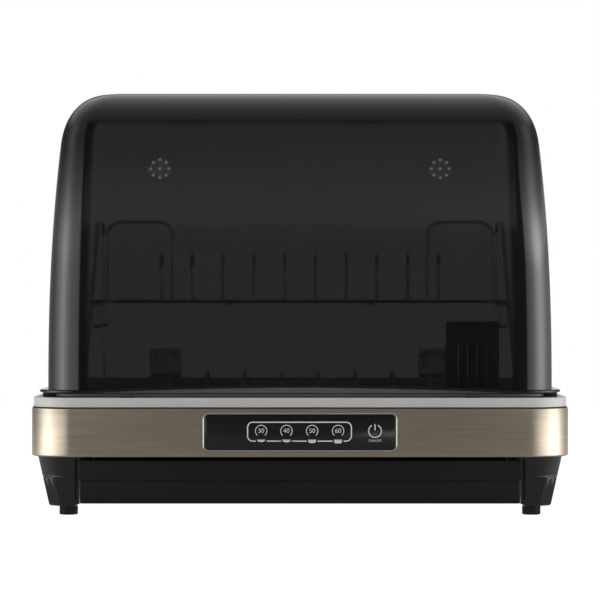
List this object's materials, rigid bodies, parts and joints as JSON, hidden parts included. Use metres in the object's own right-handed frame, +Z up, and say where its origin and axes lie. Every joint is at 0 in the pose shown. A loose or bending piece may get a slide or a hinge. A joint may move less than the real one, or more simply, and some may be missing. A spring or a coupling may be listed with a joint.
{
  "type": "electric dish dryer",
  "caption": "Counter-top electric dish dryer with a smoke-tinted dome lid on rear hinges, wire racks, steel-banded base and pull-out drip tray",
  "frame": {"origin": "on the worktop, under the middle of the body, level with the bottom of the rubber feet", "axes": "+X to the right seen from the front, +Y to the back, +Z up"},
  "size_m": [0.53, 0.37, 0.417],
  "materials": {
    "black_plastic": "satin moulded black",
    "white_plastic": "semi-gloss off-white",
    "brushed_steel": "champagne brushed along its length",
    "bezel_steel": "bright champagne",
    "gloss_black": "high gloss",
    "smoke_plastic": "clear smoke-tinted polycarbonate",
    "wire": "bright wire",
    "rubber": "soft black",
    "grey_plastic": "moulded grey",
    "zinc": "zinc-plated steel",
    "ceramic": "unglazed heater ceramic",
    "circuit_board": "green solder mask",
    "lamp_glass": "clear lamp tube"
  },
  "bodies": {
    "base": {"base_housing": "black_plastic", "steel_band": "brushed_steel", "basin": "white_plastic", "control_panel": "gloss_black", "panel_bezel": "bezel_steel", "control_board": "circuit_board", "power_board": "circuit_board", "bottom_cover": "black_plastic", "tray_rail_left": "grey_plastic", "tray_rail_right": "grey_plastic", "rubber_foot_front_left": "rubber", "rubber_foot_front_right": "rubber", "rubber_foot_rear_left": "rubber", "rubber_foot_rear_right": "rubber", "cord_inlet": "rubber", "hinge_bracket_left": "black_plastic", "hinge_bracket_right": "black_plastic", "hinge_pin_left": "zinc", "hinge_pin_right": "zinc", "lid_bumper_left": "rubber", "lid_bumper_right": "rubber", "air_grille": "white_plastic", "heater_duct": "zinc", "ptc_heater": "ceramic", "thermal_cutout": "zinc", "blower_housing": "grey_plastic", "fan_motor": "zinc", "drain_seal": "rubber", "drain_strainer": "grey_plastic", "uv_lamp": "lamp_glass", "lamp_holder_left": "white_plastic", "lamp_holder_right": "white_plastic"},
    "lid": {"lid_dome": "smoke_plastic", "lid_hinge_left": "black_plastic", "lid_hinge_right": "black_plastic", "lid_vent_left": "smoke_plastic", "lid_vent_right": "smoke_plastic"},
    "fan": {"fan_wheel": "grey_plastic", "motor_shaft": "zinc"},
    "tray": {"drip_tray": "black_plastic"},
    "lower_shelf": {"lower_rack": "wire"},
    "upper_shelf": {"upper_rack": "wire", "side_frame_left": "wire", "side_frame_right": "wire"},
    "basket": {"utensil_basket": "grey_plastic"}
  },
  "joints": [
    {"name": "lid_hinge", "type": "hinge", "parent": "base", "child": "lid", "pos_m": [0, 0.181, 0.126], "axis": [-1, 0, 0], "range_deg": [0, 95]},
    {"name": "tray_slide", "type": "slide", "parent": "base", "child": "tray", "axis": [0, -1, 0], "range_m": [0, 0.23]},
    {"name": "fan_spin", "type": "hinge", "parent": "base", "child": "fan", "pos_m": [-0.148, 0.126, 0.03], "axis": [0, 0, 1], "continuous": true},
    {"name": "upper_shelf_lift", "type": "slide", "parent": "base", "child": "upper_shelf", "axis": [0, 0, 1], "range_m": [0, 0.08]},
    {"name": "lower_shelf_lift", "type": "slide", "parent": "base", "child": "lower_shelf", "axis": [0, 0, 1], "range_m": [0, 0.05]},
    {"name": "basket_lift", "type": "slide", "parent": "lower_shelf", "child": "basket", "axis": [0, 0, 1], "range_m": [0, 0.08]}
  ]
}
